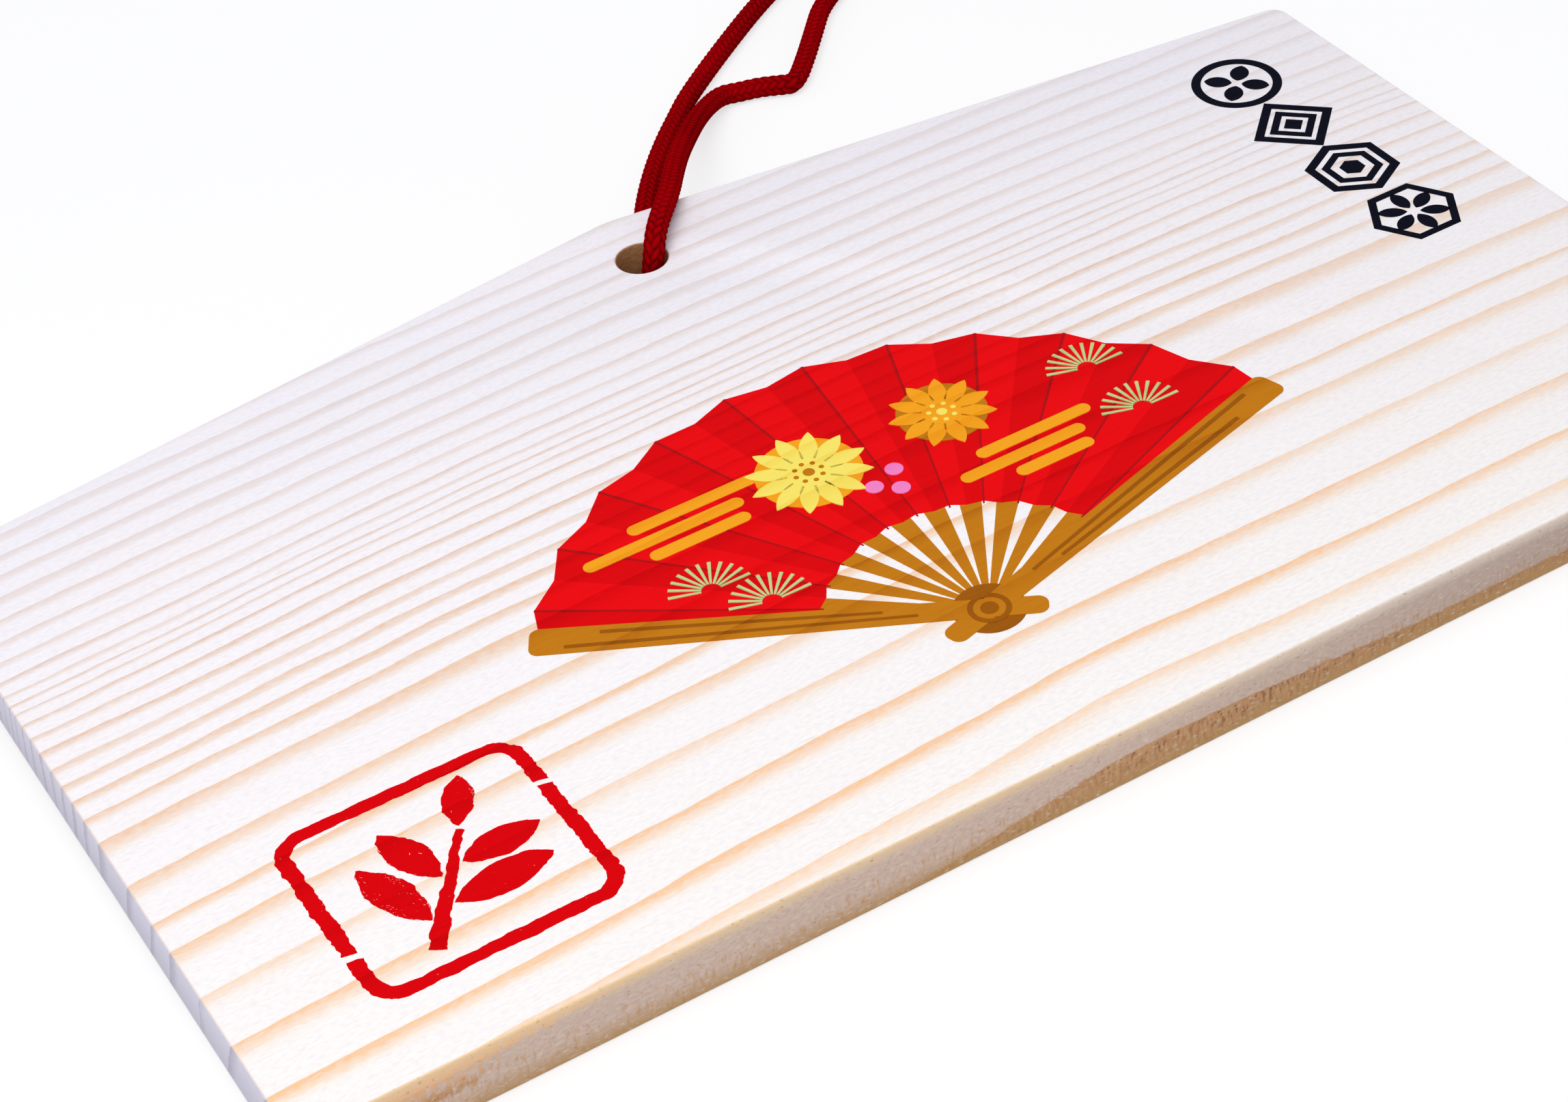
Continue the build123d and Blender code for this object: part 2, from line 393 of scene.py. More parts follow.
planed_relief = sums(tree, "MULTIPLY", planed, planed_depth)
sawn_relief = sums(tree, "MULTIPLY", sums(tree, "SUBTRACT", 1.0, planed), sawn_depth)
relief = sums(tree, "ADD", planed_relief, sawn_relief)
bump = node(tree, "ShaderNodeBump", {"Height": relief, "Distance": 0.03 * mm, "Strength": 0.8}).outputs[0]
gloss = ramp(tree, grain["Latewood"], (0.0, 0.62), (1.0, 0.5))
shader = tree.nodes["Principled BSDF"]
shader.inputs["Specular IOR Level"].default_value = 0.2
tree.links.new(colour, shader.inputs["Base Color"])
tree.links.new(gloss, shader.inputs["Roughness"])
tree.links.new(bump, shader.inputs["Normal"])

board.data.materials.clear()
board.data.materials.append(wood)
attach(board, "plaque")
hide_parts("board")

# Printed picture: a half-open folding fan in flat inks, printed on the planed face before the cord goes in.
# Each ink is a film far thinner than paper. Later inks lie over earlier ones, and the grain shows through.
film_step = 0.012 * mm
film_sink = 0.02 * mm
seam_width = 0.002 * mm
fan_pivot = Vector((-1.5 * mm, 19 * mm))
fan_turn = math.radians(-7)
fan_opening = math.radians(134)
leaf_inner = 14 * mm
leaf_outer = 38 * mm
fold_count = 22
fold_point = 1.025
stick_count = 10
stick_inner = 2.6 * mm
stick_margin = 0.06
guard_width = 3.4 * mm


def settle():
    """Applies a new primitive's place, turn and size to its mesh, and gives the piece back."""
    bpy.ops.object.transform_apply(location=True, rotation=True, scale=True)
    return bpy.context.object


def disc(centre, radius, sides=56, turn=0.0):
    """A flat round or many-sided shape."""
    bpy.ops.object.select_all(action="DESELECT")
    bpy.ops.mesh.primitive_circle_add(
        vertices=sides, radius=radius, fill_type="NGON", location=(*centre, 0), rotation=(0, 0, turn)
    )
    return settle()


def hoop(centre, radius, width, sides=56, turn=0.0):
    """A flat ring, inset from a disc."""
    piece = disc(centre, radius, sides, turn)
    bpy.ops.object.mode_set(mode="EDIT")
    bpy.ops.mesh.select_all(action="SELECT")
    bpy.ops.mesh.inset(thickness=width)
    bpy.ops.mesh.delete(type="FACE")
    bpy.ops.object.mode_set(mode="OBJECT")
    return piece


def stroke(start, end, start_width, end_width, corner=0.0):
    """A flat straight stroke between two points, tapered, its corners rounded where a radius is given."""
    run = Vector(end) - Vector(start)
    middle = (Vector(start) + Vector(end)) / 2
    bpy.ops.object.select_all(action="DESELECT")
    bpy.ops.mesh.primitive_plane_add(size=1)
    piece = bpy.context.object
    piece.scale = (run.length, start_width, 1)
    bpy.ops.object.transform_apply(scale=True)
    bpy.ops.object.mode_set(mode="EDIT")
    pick(piece, lambda place: place.x > 0)
    bpy.ops.transform.resize(value=(1, end_width / start_width, 1))
    if corner:
        bpy.ops.mesh.select_all(action="SELECT")
        bpy.ops.mesh.bevel(offset=corner, segments=8, affect="VERTICES")
    bpy.ops.object.mode_set(mode="OBJECT")
    piece.rotation_euler.z = math.atan2(run.y, run.x)
    piece.location = (*middle, 0)
    return settle()


def petal(base, heading, length, width):
    """A flat pointed leaf between two arcs: a cap cut from a disc and mirrored on its chord."""
    radius = (length**2 / 4 + width**2 / 4) / width
    bpy.ops.object.select_all(action="DESELECT")
    bpy.ops.mesh.primitive_circle_add(
        vertices=160, radius=radius, fill_type="NGON", location=(length / 2, width / 2 - radius, 0)
    )
    piece = settle()
    bpy.ops.object.mode_set(mode="EDIT")
    bpy.ops.mesh.select_all(action="SELECT")
    bpy.ops.mesh.bisect(plane_co=(0, 0, 0), plane_no=(0, 1, 0), clear_inner=True, threshold=seam_width)
    bpy.ops.object.mode_set(mode="OBJECT")
    apply_modifier(piece, "MIRROR", use_axis=(False, True, False), merge_threshold=seam_width)
    piece.rotation_euler.z = heading
    piece.location = (*base, 0)
    return settle()


def spin_copies(piece, centre, count, angle):
    """Copies a flat shape round a centre, the last one the whole angle from the first."""
    bpy.ops.object.mode_set(mode="EDIT")
    bpy.ops.mesh.select_all(action="SELECT")
    bpy.ops.mesh.spin(steps=count - 1, dupli=True, angle=-angle, center=(*centre, 0), axis=(0, 0, 1))
    bpy.ops.object.mode_set(mode="OBJECT")
    return piece


def copy_all_round(piece, centre, count):
    """Copies a flat shape evenly all the way round a centre."""
    return spin_copies(piece, centre, count, 2 * math.pi * (count - 1) / count)


def joined(shapes):
    """Joins flat shapes into one piece."""
    bpy.ops.object.select_all(action="DESELECT")
    for shape in shapes:
        shape.select_set(True)
    bpy.context.view_layer.objects.active = shapes[0]
    if len(shapes) > 1:
        bpy.ops.object.join()
    return shapes[0]


def print_on_face(name, shapes, layer, *inks):
    """Makes flat shapes into one closed film of ink on the board's face, in the order of printing."""
    piece = joined(shapes)
    piece.name = name
    film_top = (layer + 1) * film_step
    apply_modifier(piece, "SOLIDIFY", thickness=film_top + film_sink, offset=0.0)
    bpy.ops.object.mode_set(mode="EDIT")
    bpy.ops.mesh.select_all(action="SELECT")
    bpy.ops.mesh.normals_make_consistent(inside=False)
    bpy.ops.object.mode_set(mode="OBJECT")
    middle = board_thickness + (film_top - film_sink) / 2
    piece.data.transform(board_place @ Matrix.Translation((0, 0, middle)))
    for material in inks:
        piece.data.materials.append(material)
    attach(piece, "plaque")


def ink(name, thin, full, worn=0.0):
    """Printing ink on wood: fuller on the earlywood, thinner on the latewood, and worn off in specks."""
    material = bpy.data.materials.new(name)
    material.use_nodes = True
    tree = material.node_tree
    grain = node(tree, "ShaderNodeGroup", node_tree=rings).outputs
    cloud = noise(tree, grain["Place"], (3.0, 0.8, 0.8))
    fibre = ramp(tree, grain["Fibre"], (0.35, 0.0), (0.75, 0.6))
    on_ring = sums(tree, "MULTIPLY", grain["Latewood"], 0.8)
    under = sums(tree, "MAXIMUM", on_ring, sums(tree, "MULTIPLY", cloud, fibre))
    colour = blend(tree, under, full, thin)
    if worn:
        specks = noise(tree, grain["Place"], (0.32, 0.14, 0.14), detail=2.0)
        bare = ramp(tree, specks, (0.74, 0.0), (0.8, worn))
        colour = blend(tree, bare, colour, paint(246, 214, 200))
    fibre_relief = {"Height": grain["Fibre"], "Distance": 0.02 * mm, "Strength": 0.7}
    bump = node(tree, "ShaderNodeBump", fibre_relief).outputs[0]
    shader = tree.nodes["Principled BSDF"]
    shader.inputs["Roughness"].default_value = 0.7
    shader.inputs["Specular IOR Level"].default_value = 0.03
    tree.links.new(colour, shader.inputs["Base Color"])
    tree.links.new(bump, shader.inputs["Normal"])
    return material


def on_fan(radius, share):
    """A point on the fan, at a radius from its pivot and a share of its opening from the right guard."""
    angle = math.pi / 2 + fan_turn + (share - 0.5) * fan_opening
    return fan_pivot + radius * Vector((math.cos(angle), math.sin(angle)))


red_ink = ink("red_ink", paint(216, 4, 10), paint(240, 12, 18))
shade_ink = ink("shade_red_ink", paint(198, 4, 10), paint(226, 8, 14))
dark_ink = ink("dark_red_ink", paint(150, 14, 18), paint(178, 20, 24))
ochre_ink = ink("ochre_ink", paint(176, 100, 14), paint(200, 126, 24))
umber_ink = ink("umber_ink", paint(136, 72, 10), paint(160, 92, 16))
yellow_ink = ink("yellow_ink", paint(246, 216, 84), paint(252, 234, 108))
orange_ink = ink("orange_ink", paint(240, 150, 24), paint(250, 168, 34))
green_ink = ink("green_ink", paint(176, 196, 120), paint(200, 214, 146))
pink_ink = ink("pink_ink", paint(236, 110, 180), paint(246, 136, 200))

first_fold = on_fan(leaf_inner, 0)
leaf = stroke(first_fold, on_fan(leaf_outer, 0), mm, mm)
bpy.ops.object.mode_set(mode="EDIT")
radial = (on_fan(leaf_outer, 0) - first_fold).normalized()
left_of_radial = Vector((-radial.y, radial.x))
pick(leaf, lambda place: (place.xy - first_fold).dot(left_of_radial) < 0)
bpy.ops.mesh.delete(type="VERT")
bpy.ops.mesh.select_all(action="SELECT")
bpy.ops.transform.translate(value=(*(-0.5 * mm * left_of_radial), 0))
bpy.ops.mesh.spin(steps=fold_count, angle=-fan_opening, center=(*fan_pivot, 0), axis=(0, 0, 1))
fold_angle = fan_opening / fold_count
first_angle = math.pi / 2 + fan_turn - fan_opening / 2


def fold_number(place):
    """How many folds a point on the fan is from its right guard."""
    away = place.xy - fan_pivot
    return (math.atan2(away.y, away.x) - first_angle) / fold_angle


pick(leaf, lambda place: round(fold_number(place)) % 2 == 1)
bpy.ops.transform.resize(value=(fold_point, fold_point, 1), center_override=(*fan_pivot, 0))
bpy.ops.object.mode_set(mode="OBJECT")
for panel in leaf.data.polygons:
    panel.material_index = int(fold_number(panel.center)) % 2
first_stick = on_fan(stick_inner, stick_margin), on_fan(leaf_inner + 0.6 * mm, stick_margin)
sticks = stroke(*first_stick, 0.55 * mm, 2.0 * mm)
sticks = spin_copies(sticks, fan_pivot, stick_count, (1 - 2 * stick_margin) * fan_opening)
print_on_face("fan_sticks", [sticks], 0, ochre_ink)
print_on_face("fan_hub", [disc(fan_pivot, 3.2 * mm)], 1, umber_ink)
print_on_face("fan_leaf", [leaf], 1, red_ink, shade_ink)
first_crease = on_fan(leaf_inner, 1 / fold_count), on_fan(leaf_outer * fold_point, 1 / fold_count)
folds = stroke(*first_crease, 0.16 * mm, 0.3 * mm)
folds = spin_copies(folds, fan_pivot, fold_count // 2, fan_opening - 2 * fold_angle)
print_on_face("fan_folds", [folds], 2, dark_ink)
for name, share, layer in (("right_guard", 0, 3), ("left_guard", 1, 4)):
    guard = stroke(on_fan(-5 * mm, share), on_fan(leaf_outer + mm, share), 2.2 * mm, guard_width, 0.9 * mm)
    print_on_face(name, [guard], layer, ochre_ink)
guard_lines = [
    stroke(on_fan(first, share + offset), on_fan(last, share + offset / 2), 0.35 * mm, 0.45 * mm, 0.15 * mm)
    for share in (0, 1)
    for first, last, offset in ((6 * mm, 36 * mm, 0.02), (9 * mm, 33 * mm, -0.02))
]
print_on_face("fan_guard_lines", guard_lines, 5, umber_ink)
print_on_face("fan_rivet", [hoop(fan_pivot, 1.9 * mm, 0.5 * mm), disc(fan_pivot, 0.8 * mm)], 5, umber_ink)

mist = []
mist_pitch = 2.1 * mm
mist_width = 1.4 * mm
mist_corner = 0.69 * mm
mist_banks = (
    (0.80, 30, ((3, 13), (-1, 16), (1.5, 10))),
    (0.22, 22, ((1, 12), (-1.5, 13), (0.5, 8))),
)
for share, radius, lengths in mist_banks:
    for row, (shift, length) in enumerate(lengths):
        middle = on_fan(radius * mm, share) + Vector((shift * mm, (1 - row) * mist_pitch))
        reach = Vector((length * mm / 2, 0))
        mist.append(stroke(middle - reach, middle + reach, mist_width, mist_width, mist_corner))
print_on_face("fan_mist", mist, 6, orange_ink)


def blossom(centre, radius, petals, core):
    """A round many-petalled flower: pointed petals round a core."""
    heart = Vector(centre)
    petal_width = math.pi * (radius + core / 2) / petals
    first = petal(heart + Vector((core / 2, 0)), 0, radius - core / 2, petal_width)
    return copy_all_round(first, heart, petals)


def dot_ring(heart, reach, count):
    """Small dots in a ring round the heart of a flower."""
    return copy_all_round(disc(heart + Vector((reach, 0)), 0.25 * mm, 16), heart, count)


yellow_heart = on_fan(25 * mm, 0.60)
orange_heart = on_fan(27.5 * mm, 0.37)
print_on_face("yellow_blossom_ground", [disc(yellow_heart, 4.9 * mm)], 7, orange_ink)
print_on_face("orange_blossom_ground", [disc(orange_heart, 4.2 * mm)], 7, ochre_ink)
print_on_face("yellow_blossom", [blossom(yellow_heart, 5.8 * mm, 12, 1.6 * mm)], 8, yellow_ink)
print_on_face("orange_blossom", [blossom(orange_heart, 5.0 * mm, 11, 1.5 * mm)], 8, orange_ink)
print_on_face("yellow_blossom_disc", [disc(yellow_heart, 2.0 * mm)], 9, yellow_ink)
print_on_face("orange_blossom_disc", [disc(orange_heart, 1.8 * mm)], 9, orange_ink)
yellow_dots = dot_ring(yellow_heart, 1.3 * mm, 8)
orange_dots = dot_ring(orange_heart, 1.2 * mm, 7)
print_on_face("yellow_blossom_heart", [yellow_dots, disc(yellow_heart, 0.55 * mm)], 10, ochre_ink)
print_on_face("orange_blossom_heart", [orange_dots, disc(orange_heart, 0.5 * mm)], 10, yellow_ink)

needles = []
for share, radius in ((0.10, 30), (0.19, 34), (0.91, 24), (0.93, 18.5)):
    tuft = on_fan(radius * mm, share)
    needle = stroke(tuft + Vector((0.9 * mm, 0)), tuft + Vector((3.8 * mm, 0)), 0.2 * mm, 0.34 * mm)
    needles.append(spin_copies(needle, tuft, 11, math.radians(160)))
print_on_face("pine_needles", needles, 7, green_ink)
berry_places = ((0.49, 18.3), (0.535, 19.6), (0.48, 21.0))
berries = [disc(on_fan(radius * mm, share), 0.85 * mm, 32) for share, radius in berry_places]
print_on_face("berries", berries, 7, pink_ink)

# Column of ornament: four plain geometric blocks down the right side, printed in one blue-black ink.
# From the top they are a ring of four petals, nested diamonds, nested hexagons and a six-pointed hemp leaf.
block = 9.5 * mm
block_reach = 4.55 * mm
column_top = Vector((62.9 * mm, 71.5 * mm))
column_lean = Vector((-0.1 * mm, -block))
black_ink = ink("blue_black_ink", paint(14, 16, 32), paint(4, 6, 20))

petals_at, diamonds_at, hexagons_at, hemp_at = (column_top + number * column_lean for number in range(4))
petals = petal(petals_at + Vector((0.35 * mm, 0.35 * mm)), math.pi / 4, 2.8 * mm, 1.9 * mm)
petals = copy_all_round(petals, petals_at, 4)
print_on_face("petal_ring", [hoop(petals_at, block_reach, 0.95 * mm), petals], 0, black_ink)
print_on_face(
    "nested_diamonds",
    [
        hoop(diamonds_at, 1.06 * block_reach, 0.9 * mm, 4),
        hoop(diamonds_at, 0.64 * block_reach, 0.75 * mm, 4),
        disc(diamonds_at, 0.26 * block_reach, 4),
    ],
    0,
    black_ink,
)
print_on_face(
    "nested_hexagons",
    [
        hoop(hexagons_at, 1.02 * block_reach, 0.9 * mm, 6),
        hoop(hexagons_at, 0.66 * block_reach, 0.75 * mm, 6),
        disc(hexagons_at, 0.28 * block_reach, 6),
    ],
    0,
    black_ink,
)
points = petal(hemp_at + Vector((0.52 * mm, 0.3 * mm)), math.pi / 6, 2.9 * mm, 1.5 * mm)
points = copy_all_round(points, hemp_at, 6)
hemp_frame = hoop(hemp_at, 1.04 * block_reach, 0.8 * mm, 6, math.pi / 6)
print_on_face("hemp_leaf", [hemp_frame, points], 0, black_ink)

# Seal: stamped by hand in red from a soft block, so its line is uneven, its edges are ragged where the ink
# crept along the fibres, and the frame is broken twice. Inside the frame is a sprig of leaves.
seal_centre = Vector((-52.85 * mm, 18.7 * mm))
seal_width = 22.6 * mm
seal_height = 21.6 * mm
seal_turn = math.radians(0.3)
seal_line = 1.35 * mm
seal_corner = 3.0 * mm
seal_straight = seal_height / 2 - seal_corner + 0.1 * mm
seal_breaks = ((1, 0.19, 0.215), (-1, -0.25, -0.215))
break_slant = (0.2, 1, 0)
outline_step = 0.22 * mm
outline_halvings = 8
fibre_squeeze = 2.4
ragged_size = 1.7 * mm
ragged_reach = 0.6 * mm
red_stamp = ink("red_stamp_ink", paint(198, 0, 6), paint(222, 2, 10), worn=0.55)


def roughen(piece):
    """Divides a flat shape finely and pushes it about, most along the grain, as a soft stamp does."""
    bpy.ops.object.select_all(action="DESELECT")
    piece.select_set(True)
    bpy.context.view_layer.objects.active = piece
    bpy.ops.object.mode_set(mode="EDIT")
    bpy.ops.mesh.select_all(action="SELECT")
    bpy.ops.mesh.quads_convert_to_tris(ngon_method="BEAUTY")
    bpy.ops.mesh.select_mode(type="EDGE")
    for halving in range(outline_halvings):
        bpy.ops.mesh.select_all(action="DESELECT")
        mesh = bmesh.from_edit_mesh(piece.data)
        for edge in mesh.edges:
            edge.select_set(edge.calc_length() > outline_step)
        bmesh.update_edit_mesh(piece.data)
        bpy.ops.mesh.subdivide(number_cuts=1)
    bpy.ops.object.mode_set(mode="OBJECT")
    for direction, squeeze, reach in (("X", fibre_squeeze, ragged_reach), ("Y", 1.0, 0.8 * ragged_reach)):
        cloud = bpy.data.textures.new("ragged", "CLOUDS")
        cloud.noise_scale = ragged_size
        cloud.noise_depth = 3
        piece.data.transform(Matrix.Diagonal((1, squeeze, 1, 1)))
        apply_modifier(piece, "DISPLACE", texture=cloud, direction=direction, strength=reach, mid_level=0.5)
        piece.data.transform(Matrix.Diagonal((1, 1 / squeeze, 1, 1)))
    return piece


bpy.ops.object.select_all(action="DESELECT")
bpy.ops.mesh.primitive_plane_add(size=1)
seal_frame = bpy.context.object
seal_frame.scale = (seal_width, seal_height, 1)
bpy.ops.object.transform_apply(scale=True)
bpy.ops.object.mode_set(mode="EDIT")
bpy.ops.mesh.select_all(action="SELECT")
bpy.ops.mesh.bevel(offset=seal_corner, segments=8, affect="VERTICES")
bpy.ops.mesh.select_all(action="SELECT")
bpy.ops.mesh.inset(thickness=seal_line)
bpy.ops.mesh.delete(type="FACE")
for side, low_share, high_share in seal_breaks:
    low = low_share * seal_height
    high = high_share * seal_height
    on_side = side * (seal_width / 2 - 2 * seal_line)
    for cut in (low, high):
        pick(seal_frame, lambda place: side * place.x > abs(on_side) and abs(place.y) < seal_straight)
        bpy.ops.mesh.bisect(plane_co=(on_side, cut, 0), plane_no=break_slant)
    pick(seal_frame, lambda place: side * place.x > abs(on_side) and low - mm < place.y < high + mm)
    bpy.ops.mesh.delete(type="FACE")
bpy.ops.object.mode_set(mode="OBJECT")
seal_frame.rotation_euler.z = seal_turn
seal_frame.location = (*seal_centre, 0)
bpy.ops.object.select_all(action="DESELECT")
seal_frame.select_set(True)
bpy.context.view_layer.objects.active = seal_frame
bpy.ops.object.transform_apply(location=True, rotation=True, scale=True)
print_on_face("seal_frame", [roughen(seal_frame)], 0, red_stamp)

stem_foot = seal_centre + Vector((-4.8 * mm, -7.8 * mm))
stem_tip = seal_centre + Vector((2.6 * mm, 3.2 * mm))
stem_heading = math.atan2(stem_tip.y - stem_foot.y, stem_tip.x - stem_foot.x)
leaf_gap = 0.9 * mm
leaf_spread = math.radians(52)
sprig_leaves = (
    (0.2, 1, 9.0, 3.4),
    (0.34, -1, 9.2, 3.6),
    (0.56, 1, 7.6, 3.2),
    (0.68, -1, 7.4, 3.2),
    (0.96, 0.15, 6.0, 2.8),
)
sprig = [stroke(stem_foot, stem_tip, 1.5 * mm, 0.7 * mm)]
for share, side, length, width in sprig_leaves:
    heading = stem_heading + side * leaf_spread
    leaf_base = stem_foot.lerp(stem_tip, share) + leaf_gap * Vector((math.cos(heading), math.sin(heading)))
    sprig.append(petal(leaf_base, heading, length * mm, width * mm))
print_on_face("seal_sprig", [roughen(joined(sprig))], 0, red_stamp)

# Hanging cord: one length of soft round braid, dyed crimson, threaded through the hole so that one leg lies
# behind the board and one in front, then closed into a loop with an overhand knot tied in both strands.
cord_radius = 1.1 * mm
cord_sides = 60
ring_step = 0.15 * mm
braid_strands = 8
braid_pitch = 7.2 * mm
braid_depth = 0.15 * mm
tip_length = 0.9 * mm

hole_front = board_place @ Vector((0, hole_height, board_thickness))
hole_back = board_place @ Vector((0, hole_height, 0))
passage_back = Vector((0.05 * mm, hole_back.y + 0.13 * mm, cord_radius))
passage_front = Vector((0.85 * mm, hole_front.y - 0.95 * mm, hole_front.z + cord_radius / 2))
hole_middle = passage_back.lerp(passage_front, 0.6)
over_arch = hole_front.z + cord_radius + 0.9 * mm
over_roof = hole_front.z + cord_radius + 0.5 * mm

# Each strand's route in metres: from the hole past the roof edge, along the table to the knot, and the tail.
back_leg = [
    hole_middle,
    passage_back,
    (0.0026, 0.0433, cord_radius),
    (0.0056, 0.0494, cord_radius),
    (0.0093, 0.0554, cord_radius),
    (0.0132, 0.0606, cord_radius),
    (0.0169, 0.0648, cord_radius),
    (0.0201, 0.0680, cord_radius),
]
left_strand = [
    (0.0233, 0.0712, cord_radius),
    (0.0310, 0.0773, cord_radius),
    (0.0400, 0.0839, cord_radius),
    (0.0476, 0.0882, cord_radius),
    (0.0555, 0.0897, cord_radius),
    (0.0626, 0.0877, cord_radius),
    (0.0682, 0.0836, 0.0018),
]
left_end = [(0.0855, 0.0647, 0.0017), (0.0886, 0.0633, cord_radius)]
front_leg = [
    hole_middle,
    passage_front,
    (0.0026, hole_front.y + 1.2 * mm, over_arch),
    (0.0067, 0.0433, over_roof),
    (0.0097, 0.0481, 0.0086),
    (0.0128, 0.0530, 0.0070),
    (0.0164, 0.0581, 0.0052),
    (0.0200, 0.0630, 0.0034),
]
right_strand = [
    (0.0234, 0.0668, 0.0020),
    (0.0261, 0.0688, 0.0013),
    (0.0281, 0.0684, cord_radius),
    (0.0301, 0.0679, cord_radius),
    (0.0320, 0.0669, cord_radius),
    (0.0337, 0.0659, cord_radius),
    (0.0372, 0.0697, cord_radius),
    (0.0410, 0.0742, cord_radius),
    (0.0446, 0.0785, cord_radius),
    (0.0520, 0.0834, cord_radius),
    (0.0592, 0.0844, cord_radius),
    (0.0654, 0.0820, 0.0018),
]
right_end = [(0.0825, 0.0623, 0.0017), (0.0832, 0.0590, cord_radius)]

# The knot lies on the table. Each strand runs through its core, wraps once round both, and leaves as a tail.
knot_length = 8.8 * mm
knot_heading = math.radians(-50)
knot_core = 1.6 * mm
knot_wrap = 3.63 * mm
wrap_pitch = 5.06 * mm
wrap_steps = 9
knot_lead = 4 * mm
tail_lead = 3.2 * mm
strand_offset = 1.25 * mm
strand_drop = 1.1 * mm
tail_drop = 1.3 * mm
knot_entry = Vector((0.0739, 0.0755, knot_wrap + cord_radius - 0.2 * mm))
knot_place = Matrix.Translation(knot_entry) @ Matrix.Rotation(knot_heading, 4, "Z")
half_turn = 180.0
core_twist = half_turn / knot_length
left_leaving = [(7.6 * mm, 2.0 * mm, 120), (7.9 * mm, 2.85 * mm, 150), (7.4 * mm, 3.5 * mm, 180)]
right_leaving = [(5.6 * mm, 1.9 * mm, -12), (6.5 * mm, 2.7 * mm, 20), (6.3 * mm, 3.4 * mm, 50)]


def knot_turns(core_in, leaving, wrap_start, entering, core_out):
    """One strand's points through the knot, each a length along it, a radius and an angle in degrees.
    The strand runs in through the core, turns out, wraps once round it all and runs out through the core."""
    turns = [(along, knot_core, core_in[0] + core_twist * along) for along in core_in[1]]
    turns += leaving
    coming = [(knot_length - along, radius, 3 * half_turn - angle) for along, radius, angle in entering[::-1]]
    first_angle = leaving[-1][2]
    last_angle = coming[0][2]
    for step in range(1, wrap_steps):
        angle = first_angle + (last_angle - first_angle) * step / wrap_steps
        turns.append((wrap_start - wrap_pitch * angle / (2 * half_turn), knot_wrap, angle))
    turns += coming
    turns += [(along, knot_core, core_out[0] + core_twist * along) for along in core_out[1]]
    return turns


def knot_points(side, turns):
    """The strand's lead into the knot, its turns, and its lead out, as points in the frame."""
    flat = [(-knot_lead, side * strand_offset, -strand_drop)]
    for along, radius, angle in turns:
        flat.append((along, radius * math.cos(math.radians(angle)), radius * math.sin(math.radians(angle))))
    flat.append((knot_length + tail_lead, side * strand_offset, -tail_drop))
    return [knot_place @ Vector(point) for point in flat]


left_turns = knot_turns(
    (-45, (0, 2.2 * mm, 4.4 * mm, 6.2 * mm)),
    left_leaving,
    9.46 * mm,
    right_leaving,
    (495, (4.6 * mm, 6.6 * mm, 8.8 * mm)),
)
right_turns = knot_turns(
    (-135, (0, 2.2 * mm, 4.2 * mm)),
    right_leaving,
    6.93 * mm,
    left_leaving,
    (405, (2.6 * mm, 4.4 * mm, 6.6 * mm, 8.8 * mm)),
)


def smooth_line(route):
    """Points along the smooth NURBS line that has the route's points as its control points."""
    curve = bpy.data.curves.new("cord_line", "CURVE")
    curve.dimensions = "3D"
    curve.resolution_u = 48
    spline = curve.splines.new("NURBS")
    spline.points.add(len(route) - 1)
    for control, point in zip(spline.points, route):
        control.co = (*point, 1)
    spline.order_u = 3
    spline.use_endpoint_u = True
    holder = bpy.data.objects.new("cord_line", curve)
    mesh = bpy.data.meshes.new_from_object(holder)
    line = np.array([vert.co for vert in mesh.vertices])
    bpy.data.objects.remove(holder)
    bpy.data.curves.remove(curve)
    bpy.data.meshes.remove(mesh)
    return line


def braid_height(around, along):
    """How high the braid stands, 0 in its gaps to 1 on its crowns. Each strand goes over two, under two."""
    right_hand = braid_strands * (around / (2 * np.pi) - along / braid_pitch)
    left_hand = braid_strands * (around / (2 * np.pi) + along / braid_pitch)
    crossing = (np.floor(right_hand) + np.floor(left_hand)) % 4
    right_share = right_hand % 1
    left_share = left_hand % 1
    right_on_top = crossing < 2
    across_strand = np.where(right_on_top, right_share, left_share)
    along_float = np.where(right_on_top, crossing + left_share, crossing - 2 + right_share) / 2
    return np.sin(np.pi * across_strand) ** 0.6 * (0.35 + 0.65 * np.sin(np.pi * along_float) ** 0.7)


